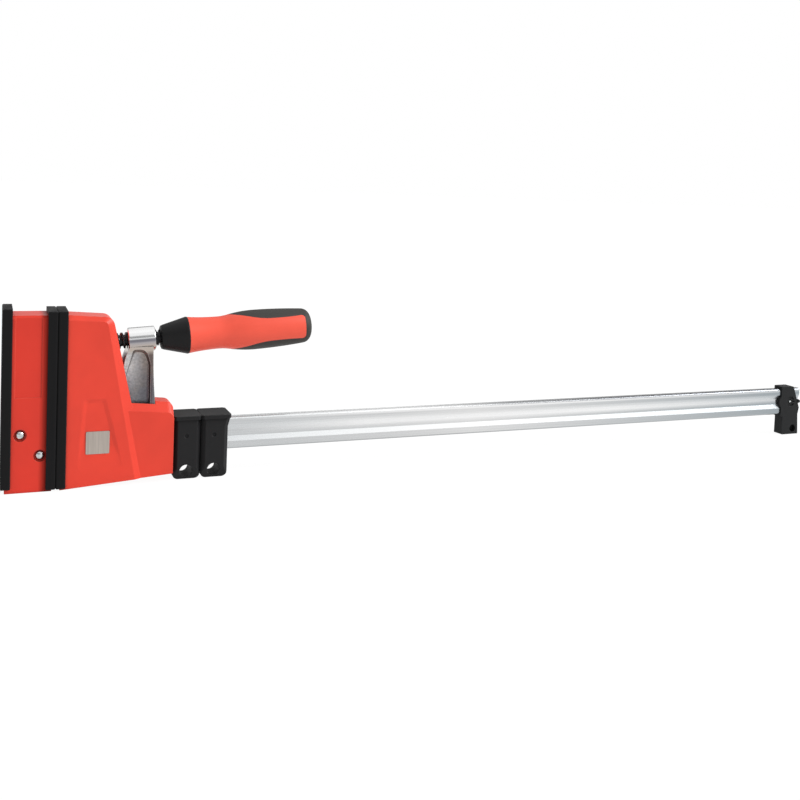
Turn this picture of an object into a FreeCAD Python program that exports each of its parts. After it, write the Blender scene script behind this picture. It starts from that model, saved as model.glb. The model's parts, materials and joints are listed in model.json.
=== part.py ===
import FreeCAD, Part
import math
import os

# Parallel clamp, jaws closed. Millimetres.
# Working frame: X runs along the rail from the clamping plane towards the end clip,
# Y across the rail, Z up from the middle of the rail. The solids are moved to the
# part's own origin, the bottom centre of the whole clamp, when they are written.

# Rail
rail_height = 29.0
rail_thickness = 9.0
rail_web_thickness = 5.6
rail_flange_height = 7.0
rail_slope_height = 4.5
rail_edge_radius = 2.5
rail_fit = 0.15
jaw_travel = 624.0

# Clamping pads, three alike
pad_width = 38.0
pad_depth = 7.7
pad_plate = 3.2
pad_wall = 1.9
pad_fit = 0.1
pad_edge_radius = 1.2
pad_slot_gap = 0.5
throat = 97.1
foot_drop = 22.5
spreading_pad_lift = 2.2
closed_gap = 0.05

# Fixed jaw
fixed_shell_length = 27.2
jaw_top_wall = 3.4
shell_foot = 1.3
shell_wall = 2.6
shell_top_chamfer = 2.0
core_flange = 4.0
core_web = 15.0
core_fit = 0.1
panel_line = 41.2
panel_step = 0.5
panel_margin = 2.4
rivet_radius = 3.0
rivet_head_radius = 3.9
rivet_head_height = 2.4
rivet_recess_radius = 5.1
rivet_recess_depth = 2.0
rivet_places = ((6.9, 10.4), (22.4, -6.9))

# Moving jaw housing
housing_top_fall = 2.6
housing_top_length = 43.9
housing_foot_rise = 4.3
housing_rear_lean = 12.1
housing_rear_radius = 8.0
bevel_width = 4.8
bevel_foot_width = 10.6
bevel_depth = 4.0
bevel_rise = 3.6
shoulder_height = 19.6
shoulder_overhang = 16.0
shoulder_inset = 2.0
shoulder_top_fall = 5.0
shoulder_bevel_rise = 8.0
shoulder_bevel_depth = 6.0
shoulder_radius = 6.5
housing_wall = 2.6
roof_wall = 5.7
cavity_round = 3.0
housing_fit = 0.3
recess_depth = 1.0
recess_wall = 3.6
recess_top = 38.4
recess_foot = -24.0
recess_foot_fade = 20.0
recess_round = 4.0
recess_foot_round = 6.0
recess_left_top = 20.6
recess_left_foot = 16.5
recess_right_top = 39.6
recess_right_foot = 55.0
badge_side = 19.0
badge_thickness = 1.0
badge_centre = (33.0, 1.0)
badge_sunk = 0.5
plate_thickness = 5.0
screw_radius = 2.0
screw_head_radius = 3.8
screw_head_height = 2.0
screw_length = 12.0
screw_boss_radius = 3.7
screw_inset_y = 10.9
screw_inset_top = 5.0
screw_inset_foot = 10.0

# Spindle and its seat
spindle_tilt = 3.8
spindle_height = 85.0
arm_setback = 24.8
spindle_radius = 6.9
thread_root_radius = 4.9
thread_lead = 4.0
nose_radius = 4.9
nose_length = 12.0
nose_fit = 0.05
ring_width = 1.4
ring_thickness = 1.8
ring_fit = 0.1
seat_radius = 9.5
seat_floor = 2.5
spindle_hole_fit = 0.6

# Sliding arm
boss_length = 23.2
boss_radius = 10.7
boss_bore_fit = 0.1
arm_half_width = 10.0
arm_rear_reach = 11.3
arm_front_reach = 15.7
arm_front_height = 60.0
arm_front_sweep = 5.4
arm_rear_sweep = 2.0
arm_foot_drop = 11.0
arm_window_gap = 1.3
arm_edge_radius = 2.0
arm_slot_gap = 0.5
arm_turns = 1.75
pocket_depth = 3.8
pocket_rim = 2.0
pocket_top = 77.6
pocket_half_top = 5.5
pocket_side_lean = 4.5
pocket_draft = 1.6
pocket_foot_round = 1.5
pocket_front_round = 12.0
pocket_top_front_round = 3.0
pocket_top_rear_round = 7.0
pocket_rear_round = 14.0

# Handle
ferrule_gap = 4.4
ferrule_length = 23.6
ferrule_small_radius = 10.8
ferrule_large_radius = 16.2
ferrule_round = 2.5
grip_length = 110.4
grip_mouth_inset = 0.3
grip_mouth_slope = 0.13
grip_neck_radius = 14.2
grip_neck_place = 26.0
grip_swell_radius = 15.25
grip_swell_place = 36.0
grip_belly_radius = 17.7
grip_belly_place = 60.0
grip_end_radius = 15.6
grip_end_flat = 7.5
grip_end_round = 7.0
overmould_thickness = 2.0
panel_start = 23.0
panel_start_proud = 2.0
panel_shoulder = 12.3
panel_shoulder_place = 55.0
panel_waist = 10.0
panel_waist_place = 72.0
panel_wide = 10.4
panel_end_margin = 7.0
panel_corner = 3.0
panel_twist = 4.5
spindle_in_grip = 60.0

# Rail protection pads
rail_pad_length = 23.5
rail_pad_width = 26.6
rail_pad_rim = 1.5
rail_pad_rim_height = 3.3
rail_pad_rim_chamfer = 2.0
rail_pad_flare = 8.0
rail_pad_overlap = 2.2
rail_pad_chamfer = 3.5
rail_pad_cover = 4.4
rail_pad_foot_radius = 5.0
rail_pad_gap = 0.5
rail_pad_window_gap = 0.4
rail_pad_hole_radius = 5.7
rail_pad_hole_height = 7.6
rail_pad_hole_forward = 0.6
rail_pad_bevel_height = 10.0
rail_pad_bevel_inset = 4.0
rail_pad_dimple_radius = 1.9
rail_pad_dimple_depth = 0.8
rail_pad_dimple_height = 1.5
rail_pad_dimple_forward = 0.8

# Clutch
clutch_plate_thickness = 3.0
clutch_plate_margin = 0.4
clutch_strip_width = 8.0
clutch_strip_thickness = 0.6

# End clip
clip_gap = 2.1
clip_length = 25.8
clip_width = 12.0
clip_wall_fit = 0.05
clip_top_cover = 2.6
clip_top_run = 9.2
clip_waist = 1.6
clip_foot_step = 3.0
clip_step_drop = 2.0
clip_bulge = 2.8
clip_bulge_radius = 8.2
clip_recess_radius = 5.7
clip_recess_depth = 1.0
clip_pin_radius = 1.3
clip_pin_place = 13.2
clip_rib = 1.1
clip_rib_height = 0.8
clip_knob_radius = 1.7
clip_hole_radius = 4.2
clip_hole_depth = 4.5
clip_hole_place = 18.0
clip_hole_height = 6.4
rail_stub = 0.7

# Worked out from the sizes above
rail_top = rail_height / 2
rail_half = rail_thickness / 2
pad_top = rail_top + throat
ground = -rail_top - foot_drop
pad_bottom = ground + shell_foot
pad_half = pad_width / 2
jaw_half = pad_half - pad_wall - pad_fit
jaw_top = pad_top - jaw_top_wall
fixed_inner = -pad_plate
fixed_outer = -pad_depth - fixed_shell_length - pad_depth + pad_plate
spreading_face = fixed_outer - pad_plate
housing_front = closed_gap + pad_plate
pad_back = closed_gap + pad_depth
shoulder_top = rail_top + shoulder_height
spindle_middle = housing_top_length + arm_setback
arm_front = spindle_middle - arm_front_reach
arm_rear = spindle_middle + arm_rear_reach
arm_travel = thread_lead * arm_turns
shoulder_end = arm_rear + shoulder_overhang
shoulder_half = jaw_half - shoulder_inset
tilt = math.radians(spindle_tilt)
first_rail_pad = shoulder_end + rail_pad_gap
second_rail_pad = first_rail_pad + rail_pad_length + rail_pad_gap
rail_pads_end = second_rail_pad + rail_pad_length + rail_pad_overlap
clip_start = rail_pads_end + jaw_travel + clip_gap
clip_end = clip_start + clip_length
rail_end = clip_end + rail_stub
rail_start = fixed_outer
cavity_half = jaw_half - housing_wall
boss_start = -boss_length / 2
boss_end = boss_length / 2
ferrule_start = boss_end + ferrule_gap
grip_start = ferrule_start + ferrule_length
grip_end = grip_start + grip_length
arm_neck = spindle_height - boss_radius / 2

X_AXIS = FreeCAD.Vector(1, 0, 0)
Y_AXIS = FreeCAD.Vector(0, 1, 0)


def vector(x, y, z):
    return FreeCAD.Vector(x, y, z)


def box(x0, x1, y0, y1, z0, z1):
    return Part.makeBox(x1 - x0, y1 - y0, z1 - z0, vector(x0, y0, z0))


def cylinder_y(x, z, radius, y0, y1):
    return Part.makeCylinder(radius, y1 - y0, vector(x, y0, z), Y_AXIS)


def closed_wire(points):
    return Part.makePolygon(list(points) + [points[0]])


def rounded_wire(points, radii):
    """A closed wire through 3-D points, each corner rounded to its own radius where its sides allow."""
    edges, ends = [], []
    count = len(points)
    for i, corner in enumerate(points):
        before, after = points[i - 1] - corner, points[(i + 1) % count] - corner
        shorter = min(before.Length, after.Length)
        before.normalize()
        after.normalize()
        half_angle = before.getAngle(after) / 2
        if radii[i] <= 0:
            ends.append((corner, corner))
            continue
        reach = min(radii[i] / math.tan(half_angle), 0.48 * shorter)
        radius = reach * math.tan(half_angle)
        start, end = corner + before * reach, corner + after * reach
        inward = (before + after).normalize()
        middle = corner + inward * (radius / math.sin(half_angle) - radius)
        edges.append(Part.Arc(start, middle, end).toShape())
        ends.append((start, end))
    for i in range(count):
        start, end = ends[i][1], ends[(i + 1) % count][0]
        if (end - start).Length > 1e-6:
            edges.append(Part.LineSegment(start, end).toShape())
    return Part.Wire(Part.__sortEdges__(edges))


def tangent_arcs(points, direction):
    """Arcs through the points, the first along direction and each next one tangent to the last."""
    arcs = []
    for start, end in zip(points, points[1:]):
        chord = end - start
        heading = vector(*direction).normalize()
        along = vector(*chord).normalize()
        off_chord = heading - along * heading.dot(along)
        angle = along.getAngle(heading)
        if off_chord.Length < 1e-9:
            arcs.append(Part.LineSegment(start, end).toShape())
            direction = along
            continue
        middle = start + chord * 0.5 + off_chord.normalize() * (chord.Length / 2 * math.tan(angle / 2))
        arcs.append(Part.Arc(start, middle, end).toShape())
        direction = along * (2 * heading.dot(along)) - heading
    return arcs


def side_prism(points, y0, y1, radii=None):
    """Extrudes an outline given as (x, z) pairs from y0 to y1."""
    corners = [vector(x, y0, z) for x, z in points]
    wire = rounded_wire(corners, radii) if radii else closed_wire(corners)
    return Part.Face(wire).extrude(vector(0, y1 - y0, 0))


def mirrored_pair(shape):
    """The shape and its mirror image across the rail's middle plane."""
    return [shape, shape.mirror(vector(0, 0, 0), Y_AXIS)]


def fuse(shapes):
    solid = shapes[0]
    for shape in shapes[1:]:
        solid = solid.fuse(shape)
    return solid.removeSplitter()


def cut(shape, tools):
    for tool in tools:
        shape = shape.cut(tool)
    return shape


def turned(profile):
    """Revolves an outline of (s, radius) pairs about the spindle's own axis."""
    points = [vector(s, 0, r) for s, r in profile]
    return Part.Face(closed_wire(points)).revolve(vector(0, 0, 0), X_AXIS, 360)


def on_spindle(shape):
    """Moves a shape from the spindle's own frame, with s along X, to the working frame."""
    placed = shape.copy()
    placed.rotate(vector(0, 0, 0), Y_AXIS, -spindle_tilt)
    placed.translate(vector(spindle_middle, 0, spindle_height))
    return placed


def spindle_s(x):
    """The distance along the spindle's axis, from its middle, of the axis point at x."""
    return (x - spindle_middle) / math.cos(tilt)


def rail_profile(x, grow=0.0):
    """The grooved section of the rail at x, grown outwards by grow."""
    half, top = rail_half + grow, rail_top + grow
    web = rail_web_thickness / 2 + grow
    flange = rail_top - rail_flange_height - grow
    slope = flange - rail_slope_height
    right = [(-top, half), (-flange, half), (-slope, web), (slope, web), (flange, half), (top, half)]
    outline = [(y, z) for z, y in right] + [(-y, z) for z, y in reversed(right)]
    corners = [vector(x, y, z) for y, z in outline]
    edge = rail_edge_radius + grow
    radii = [edge if abs(abs(z) - top) < 1e-9 else 1.0 for y, z in outline]
    return Part.Face(rounded_wire(corners, radii))


def make_rail():
    rail = rail_profile(rail_start).extrude(vector(rail_end - rail_start, 0, 0))
    holes = [cylinder_y(x, z, rivet_radius, -rail_half, rail_half) for x, z in rivet_points()]
    holes.append(cylinder_y(clip_start + clip_pin_place, 0, clip_pin_radius, -rail_half, rail_half))
    return cut(rail, holes)


def rivet_points():
    outer = fixed_outer + pad_depth - pad_plate
    return [(outer + along, up) for along, up in rivet_places]


def rail_window(x0, x1, gap, floor=None):
    """The rail's rectangular way through a piece, open below when a floor is given."""
    low = -rail_top - gap if floor is None else floor
    return box(x0, x1, -rail_half - gap, rail_half + gap, low, rail_top + gap)


def jaw_outline(x, half, top, bottom, chamfer):
    """The section of a jaw at x: flat sides, chamfered top edges."""
    return closed_wire([
        vector(x, -half, bottom), vector(x, half, bottom), vector(x, half, top - chamfer),
        vector(x, half - chamfer, top), vector(x, -half + chamfer, top), vector(x, -half, top - chamfer),
    ])


def make_pad(face, direction, lift):
    """A clamping pad whose working face lies at x = face and looks against direction."""
    back = face + direction * pad_depth
    x0, x1 = min(face, back), max(face, back)
    outer = box(x0, x1, -pad_half, pad_half, pad_bottom + lift, pad_top + lift)
    inner_start = face + direction * pad_plate
    inner_end = back + direction
    section = Part.Face(jaw_outline(inner_start, jaw_half + pad_fit, jaw_top + pad_fit,
                                    ground - shell_foot, shell_top_chamfer))
    pad = outer.cut(section.extrude(vector(inner_end - inner_start, 0, 0)))
    pad = pad.cut(rail_window(x0 - 1, x1 + 1, pad_slot_gap, pad_bottom - 2 * foot_drop))
    long_edges = [e for e in pad.Edges if is_outer_pad_edge(e, face, lift)]
    return pad.makeFillet(pad_edge_radius, long_edges)


def is_outer_pad_edge(edge, face, lift):
    """The two upright edges and the top edge round a pad's working face."""
    box_of = edge.BoundBox
    if abs(box_of.XMin - face) > 1e-6 or abs(box_of.XMax - face) > 1e-6:
        return False
    upright = box_of.YLength < 1e-6 and abs(abs(box_of.YMin) - pad_half) < 1e-6
    top = box_of.ZLength < 1e-6 and abs(box_of.ZMin - pad_top - lift) < 1e-6
    return upright or top


def make_fixed_shell():
    solid = Part.Face(jaw_outline(fixed_outer, jaw_half, jaw_top, ground, shell_top_chamfer))
    solid = solid.extrude(vector(fixed_inner - fixed_outer, 0, 0))
    hollow_half = jaw_half - shell_wall
    hollow = box(fixed_outer - 1, fixed_inner + 1, -hollow_half, hollow_half,
                 ground + shell_wall, jaw_top - shell_wall)
    solid = solid.cut(hollow)
    floor_slot = rail_window(fixed_outer - 1, fixed_inner + 1, pad_slot_gap, ground - 1)
    solid = solid.cut(floor_slot)
    panel_x0 = fixed_outer + pad_depth - pad_plate + panel_margin
    panel_x1 = fixed_inner - pad_depth + pad_plate - panel_margin - shell_top_chamfer
    upper_panel = box(panel_x0, panel_x1, jaw_half - panel_step, jaw_half + 1, panel_line, jaw_top + 1)
    recess_floor = jaw_half - rivet_recess_depth
    recesses = [cylinder_y(x, z, rivet_recess_radius, recess_floor, jaw_half + 1) for x, z in rivet_points()]
    tools = mirrored_pair(upper_panel)
    for recess in recesses:
        tools += mirrored_pair(recess)
    tools += [cylinder_y(x, z, rivet_radius, -jaw_half, jaw_half) for x, z in rivet_points()]
    return cut(solid, tools)


def make_fixed_core():
    half = jaw_half - shell_wall - core_fit
    low, high = ground + shell_wall + core_fit, jaw_top - shell_wall - core_fit
    outer_flange = box(fixed_outer, fixed_outer + core_flange, -half, half, low, high)
    inner_flange = box(fixed_inner - core_flange, fixed_inner, -half, half, low, high)
    web = box(fixed_outer, fixed_inner, -core_web / 2, core_web / 2, low, high)
    bosses = [cylinder_y(x, z, rivet_recess_radius, -half, half) for x, z in rivet_points()]
    core = fuse([outer_flange, inner_flange, web] + bosses)
    holes = [cylinder_y(x, z, rivet_radius, -half, half) for x, z in rivet_points()]
    way = rail_profile(fixed_outer - 1, rail_fit).extrude(vector(fixed_inner - fixed_outer + 2, 0, 0))
    return cut(core, [way] + holes)


def make_rivets():
    """Two rivets with a domed head on each side, as one group."""
    rivets = []
    seat = jaw_half - rivet_recess_depth
    for x, z in rivet_points():
        shank = cylinder_y(x, z, rivet_radius, -seat, seat)
        foot, tip = vector(x + rivet_head_radius, seat, z), vector(x, seat + rivet_head_height, z)
        dome = tangent_arcs([tip, foot], X_AXIS) + Part.makePolygon([foot, vector(x, seat, z), tip]).Edges
        head = Part.Face(Part.Wire(dome)).revolve(tip, Y_AXIS, 360)
        rivets.append(fuse([shank] + mirrored_pair(head)))
    return Part.makeCompound(rivets)


def rear_x(z):
    """Where the housing's sloping rear face lies at height z."""
    top_z = housing_top_at(housing_top_length)
    return housing_top_length + (top_z - z) * math.tan(math.radians(housing_rear_lean))


def housing_top_at(x):
    return jaw_top - housing_top_fall * (x - pad_back) / (housing_top_length - pad_back)


def housing_foot_at(x):
    return ground + math.tan(math.radians(housing_foot_rise)) * (x - housing_front)


def shoulder_top_at(x, drop=0.0):
    front = rear_x(shoulder_top)
    return shoulder_top - drop - math.tan(math.radians(shoulder_top_fall)) * (x - front)


def main_outline(y, top_inset, foot_inset, drop):
    """The tapered side of the housing at y, drawn in by the bevel's widths and its rise."""
    rear_top = housing_top_length - top_inset
    top = [(housing_front, jaw_top - drop), (rear_top, housing_top_at(rear_top) - drop)]
    foot_x = rear_x(ground) - foot_inset
    foot = [(foot_x, housing_foot_at(foot_x)), (housing_front, housing_foot_at(housing_front))]
    return [vector(x, y, z) for x, z in top + foot]


def bevelled_body():
    """The housing's tapered main body: a core slab and a bevelled cheek on each side."""
    middle = jaw_half - bevel_depth
    radii = [0, housing_rear_radius, 0, 0]
    slab = Part.Face(rounded_wire(main_outline(-middle, 0, 0, 0), radii)).extrude(vector(0, 2 * middle, 0))
    radii_side = [0, housing_rear_radius / 2, 0, 0]
    inner = rounded_wire(main_outline(middle, 0, 0, 0), radii)
    outer = rounded_wire(main_outline(jaw_half, bevel_width, bevel_foot_width, bevel_rise), radii_side)
    cheek = Part.makeLoft([inner, outer], True, True)
    return fuse([slab] + mirrored_pair(cheek))


def shoulder_outline(y, drop):
    start = jaw_half
    corners = [
        (start, shoulder_top_at(start, drop)),
        (shoulder_end, shoulder_top_at(shoulder_end, drop)),
        (shoulder_end, housing_foot_at(shoulder_end)),
        (start, housing_foot_at(start)),
    ]
    return [vector(x, y, z) for x, z in corners]


def shoulder_body():
    """The low part behind the main body, narrower, with wide bevels along its top."""
    middle = shoulder_half - shoulder_bevel_depth
    radii = [0, shoulder_radius, 0, 0]
    slab = Part.Face(rounded_wire(shoulder_outline(-middle, 0), radii)).extrude(vector(0, 2 * middle, 0))
    inner = rounded_wire(shoulder_outline(middle, 0), radii)
    outer = rounded_wire(shoulder_outline(shoulder_half, shoulder_bevel_rise), radii)
    cheek = Part.makeLoft([inner, outer], True, True)
    return fuse([slab] + mirrored_pair(cheek))


def cavity_roof_at(x):
    return housing_top_at(x) - roof_wall


def housing_cavity():
    """The hollow inside: the main body's and the shoulder's, open at the front."""
    wall, start = housing_wall, housing_front - housing_wall
    top = [(start, cavity_roof_at(start)),
           (housing_top_length - roof_wall, cavity_roof_at(housing_top_length))]
    foot_x = rear_x(ground) - bevel_foot_width
    foot = [(foot_x, housing_foot_at(foot_x) + wall), (start, housing_foot_at(start) + wall)]
    main = side_prism(top + foot, -cavity_half, cavity_half, [0, cavity_round, 0, 0])
    half = cavity_half - shoulder_inset
    middle = shoulder_half - shoulder_bevel_depth
    roof = shoulder_bevel_rise * (half - middle) / (shoulder_half - middle) + wall
    x0, x1 = jaw_half, shoulder_end - wall
    low = side_prism([(x0, shoulder_top_at(x0, roof)), (x1, shoulder_top_at(x1, roof)),
                      (x1, housing_foot_at(x1) + wall), (x0, housing_foot_at(x0) + wall)], -half, half)
    return fuse([main, low])


def screw_points():
    high = cavity_roof_at(pad_back) - screw_inset_top
    low = housing_foot_at(pad_back) + housing_wall + screw_inset_foot
    return [(y, z) for z in (low, high) for y in (-screw_inset_y, screw_inset_y)]


def arm_slot():
    """The arm's way through the shoulder's roof and up the rear face of the housing."""
    half = arm_half_width + arm_slot_gap
    front = arm_front - arm_travel - arm_slot_gap
    rear = arm_rear + arm_slot_gap
    return box(front, rear, -half, half, rail_top, arm_neck + arm_slot_gap)


def make_housing():
    body = fuse([bevelled_body(), shoulder_body()])
    body = body.cut(housing_cavity())
    boss_start_x = housing_front + plate_thickness
    bosses = [Part.makeCylinder(screw_boss_radius, screw_length, vector(boss_start_x, y, z), X_AXIS)
              for y, z in screw_points()]
    body = fuse([body] + bosses)
    screw_ways = [Part.makeCylinder(screw_radius, screw_length + 1, vector(housing_front, y, z), X_AXIS)
                  for y, z in screw_points()]
    spindle_way = on_spindle(Part.makeCylinder(spindle_radius + spindle_hole_fit, spindle_middle,
                                               vector(boss_start, 0, 0), -X_AXIS))
    rail_way = rail_window(housing_front - 1, shoulder_end + 1, housing_fit)
    recess = side_recess()
    badge_seat = badge_block(jaw_half - recess_depth - badge_sunk, jaw_half + 1)
    tools = screw_ways + [spindle_way, rail_way, arm_slot()]
    return cut(body, tools + mirrored_pair(recess) + mirrored_pair(badge_seat)[1:])


def side_recess():
    """The A-shaped shallow recess in the housing's side, with sloping walls that fade out below."""
    mouth = [(recess_left_top, recess_top), (recess_right_top, recess_top),
             (recess_right_foot, recess_foot), (recess_left_foot, recess_foot)]
    foot = recess_foot + recess_foot_fade
    share = recess_foot_fade / (recess_top - recess_foot)
    left = recess_left_foot + share * (recess_left_top - recess_left_foot) + recess_wall
    right = recess_right_foot + share * (recess_right_top - recess_right_foot) - recess_wall
    floor = [(recess_left_top + recess_wall, recess_top - recess_wall),
             (recess_right_top - recess_wall, recess_top - recess_wall), (right, foot), (left, foot)]
    deep = jaw_half - recess_depth
    rounds = [recess_round, recess_round, recess_foot_round, recess_foot_round]
    mouth_wire = rounded_wire([vector(x, jaw_half, z) for x, z in mouth], rounds)
    floor_wire = rounded_wire([vector(x, deep, z) for x, z in floor], [r / 2 for r in rounds])
    return Part.makeLoft([floor_wire, mouth_wire], True, True)


def badge_block(y0, y1):
    x, z = badge_centre
    half = badge_side / 2
    return box(x - half, x + half, y0, y1, z - half, z + half)


def make_badge():
    back = jaw_half - recess_depth - badge_sunk
    plate = badge_block(-back - badge_thickness, -back)
    upright = [e for e in plate.Edges if e.BoundBox.YLength > badge_thickness / 2]
    return plate.makeFillet(badge_thickness, upright)


def make_pressure_plate():
    half = cavity_half - core_fit
    back = housing_front + plate_thickness
    low = housing_foot_at(back) + housing_wall + core_fit
    high = cavity_roof_at(back) - core_fit
    plate = box(housing_front, housing_front + plate_thickness, -half, half, low, high)
    tools = [rail_window(housing_front - 1, housing_front + plate_thickness + 1, housing_fit)]
    for y, z in screw_points():
        start = vector(housing_front, y, z)
        tools.append(Part.makeCylinder(screw_radius, plate_thickness, start, X_AXIS))
        tools.append(Part.makeCone(screw_head_radius, screw_radius, screw_head_height, start, X_AXIS))
    return cut(plate, tools)


def make_plate_screws():
    """Countersunk screws through the plate into the housing's bosses, as one group."""
    screws = []
    for y, z in screw_points():
        start = vector(housing_front, y, z)
        shank = Part.makeCylinder(screw_radius, screw_length, start, X_AXIS)
        head = Part.makeCone(screw_head_radius, screw_radius, screw_head_height, start, X_AXIS)
        screws.append(fuse([shank, head]))
    return Part.makeCompound(screws)


def seat_back():
    return housing_front + plate_thickness


def nose_start():
    return spindle_s(seat_back() + seat_floor + seat_radius * math.tan(tilt))


def ring_start():
    return nose_start() + nose_length / 2


def make_thrust_seat():
    """The cup that takes the spindle's nose, cut off square where it stands on the plate."""
    start, length = nose_start(), nose_length
    cup = Part.makeCylinder(seat_radius, length + 4 * seat_floor,
                            vector(start - 4 * seat_floor, 0, 0), X_AXIS)
    bore = Part.makeCylinder(nose_radius + nose_fit, length + 1, vector(start, 0, 0), X_AXIS)
    groove = Part.makeCylinder(nose_radius + ring_thickness, ring_width + 2 * ring_fit,
                               vector(ring_start() - ring_fit, 0, 0), X_AXIS)
    cup = on_spindle(cut(cup, [bore, groove]))
    behind = box(seat_back() - 4 * seat_radius, seat_back(), -2 * seat_radius, 2 * seat_radius, 0, pad_top)
    return cup.cut(behind)


def make_retaining_ring():
    inner = nose_radius - ring_thickness / 2 + ring_fit
    outer = nose_radius + ring_thickness - ring_fit
    start = vector(ring_start(), 0, 0)
    ring = Part.makeCylinder(outer, ring_width, start, X_AXIS)
    ring = ring.cut(Part.makeCylinder(inner, ring_width, start, X_AXIS))
    mouth = box(ring_start() - 1, ring_start() + ring_width + 1, -ring_thickness, ring_thickness,
                -2 * outer, 0)
    return on_spindle(ring.cut(mouth))


def make_spindle():
    """The screw at its thread's outer radius, with a grooved nose and a stem in the grip."""
    start, shoulder = nose_start(), nose_start() + nose_length + ring_fit
    groove, groove_end = ring_start() - ring_fit, ring_start() + ring_width + ring_fit
    groove_radius = nose_radius - ring_thickness / 2
    stem_end = ferrule_start + spindle_in_grip
    profile = [
        (start, 0), (start, nose_radius - 1), (start + 1, nose_radius), (groove, nose_radius),
        (groove, groove_radius), (groove_end, groove_radius), (groove_end, nose_radius),
        (shoulder, nose_radius), (shoulder, spindle_radius - 1), (shoulder + 1, spindle_radius),
        (ferrule_start, spindle_radius), (ferrule_start, thread_root_radius),
        (stem_end, thread_root_radius), (stem_end, 0),
    ]
    return on_spindle(turned(profile))


def arm_front_x():
    """Where the arm's front edge meets the boss, under its front end."""
    return arm_front + arm_front_sweep


def arm_side(y0, y1):
    """The arm's web below the boss, with gently curved front and rear edges."""
    foot = -rail_top - arm_foot_drop
    rear_top = arm_rear - arm_rear_sweep
    middle = (arm_neck + arm_front_height) / 2
    front_edge = Part.Arc(vector(arm_front, y0, arm_front_height),
                          vector(arm_front + 0.3 * arm_front_sweep, y0, middle),
                          vector(arm_front_x(), y0, arm_neck))
    rear_edge = Part.Arc(vector(rear_top, y0, arm_neck),
                         vector(rear_top + 0.2 * arm_rear_sweep, y0, arm_front_height),
                         vector(arm_rear, y0, shoulder_top))
    corners = [rear_edge.EndPoint, vector(arm_rear, y0, foot + arm_edge_radius),
               vector(arm_rear - arm_edge_radius, y0, foot), vector(arm_front + arm_edge_radius, y0, foot),
               vector(arm_front, y0, foot + arm_edge_radius), front_edge.StartPoint]
    edges = [front_edge.toShape(), Part.LineSegment(front_edge.EndPoint, rear_edge.StartPoint).toShape(),
             rear_edge.toShape()] + Part.makePolygon(corners).Edges
    return Part.Face(Part.Wire(edges)).extrude(vector(0, y1 - y0, 0))


def pocket_wire(y, draft):
    """The arch of the arm's pocket at y, drawn in by draft."""
    middle = spindle_middle - boss_radius / 5
    foot = rail_top + pocket_rim + draft
    top = pocket_top - 2 * draft
    front, rear = arm_front + pocket_rim + draft, arm_rear - arm_rear_sweep - pocket_rim - draft
    half = pocket_half_top - draft
    points = [
        (front, foot), (front, arm_front_height - pocket_side_lean), (middle - half, top),
        (middle + half, top), (rear, arm_front_height + pocket_side_lean), (rear + 2 * draft / 3, foot),
    ]
    rounds = [pocket_foot_round, pocket_front_round, pocket_top_front_round,
              pocket_top_rear_round, pocket_rear_round, pocket_foot_round]
    return rounded_wire([vector(x, y, z) for x, z in points], rounds)


def pocket():
    """The forged pocket in one side of the arm: an arch with sloping walls."""
    floor = pocket_wire(arm_half_width - pocket_depth, pocket_draft)
    mouth = pocket_wire(arm_half_width, 0)
    beyond = pocket_wire(arm_half_width + 1, 0)
    return fuse([Part.makeLoft([floor, mouth], True, True), Part.makeLoft([mouth, beyond], True, True)])


def make_sliding_arm():
    boss = Part.makeCylinder(boss_radius, boss_length, vector(boss_start, 0, 0), X_AXIS)
    boss = boss.makeChamfer(0.8, [e for e in boss.Edges if e.BoundBox.XLength < 1e-6])
    web = arm_side(-arm_half_width, arm_half_width)
    arm = fuse([on_spindle(boss), web])
    bore = on_spindle(Part.makeCylinder(spindle_radius + boss_bore_fit, 2 * boss_length,
                                        vector(-boss_length, 0, 0), X_AXIS))
    window = rail_window(arm_front - 1, arm_rear + 1, arm_window_gap)
    return cut(arm, [bore, window] + mirrored_pair(pocket()))


def make_ferrule():
    profile = [
        (ferrule_start, thread_root_radius), (ferrule_start, ferrule_small_radius - ferrule_round),
        (ferrule_start + 0.3 * ferrule_round, ferrule_small_radius - 0.3 * ferrule_round),
        (ferrule_start + ferrule_round, ferrule_small_radius),
        (grip_start - 1.0, ferrule_large_radius), (grip_start, ferrule_large_radius - 0.2),
        (grip_start, thread_root_radius),
    ]
    return on_spindle(turned(profile))


def grip_outline(inset):
    """The grip's half section from mouth to flat end, drawn in by inset."""
    return [
        vector(grip_start, 0, ferrule_large_radius - grip_mouth_inset - inset),
        vector(grip_start + grip_neck_place, 0, grip_neck_radius - inset),
        vector(grip_start + grip_swell_place, 0, grip_swell_radius - inset),
        vector(grip_start + grip_belly_place, 0, grip_belly_radius - inset),
        vector(grip_end - grip_end_round, 0, grip_end_radius - inset),
        vector(grip_end - inset, 0, grip_end_flat - inset),
    ]


def closed_half(edges, last):
    """Closes a half section along its end and the axis, and turns it into a solid."""
    corners = [last, vector(last.x, 0, 0), vector(grip_start, 0, 0), edges[0].Vertexes[0].Point]
    wire = Part.Wire(Part.__sortEdges__(edges + Part.makePolygon(corners).Edges))
    return Part.Face(wire).revolve(vector(0, 0, 0), X_AXIS, 360)


def grip_body():
    """The grip's outer form, a chain of tangent arcs turned about the spindle's axis."""
    points = grip_outline(0)
    return closed_half(tangent_arcs(points, vector(1, 0, -grip_mouth_slope)), points[-1])


def grip_lining():
    """The core's surface under the soft part, in plain cones."""
    points = grip_outline(overmould_thickness)
    return closed_half(Part.makePolygon(points).Edges, points[-1])


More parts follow.
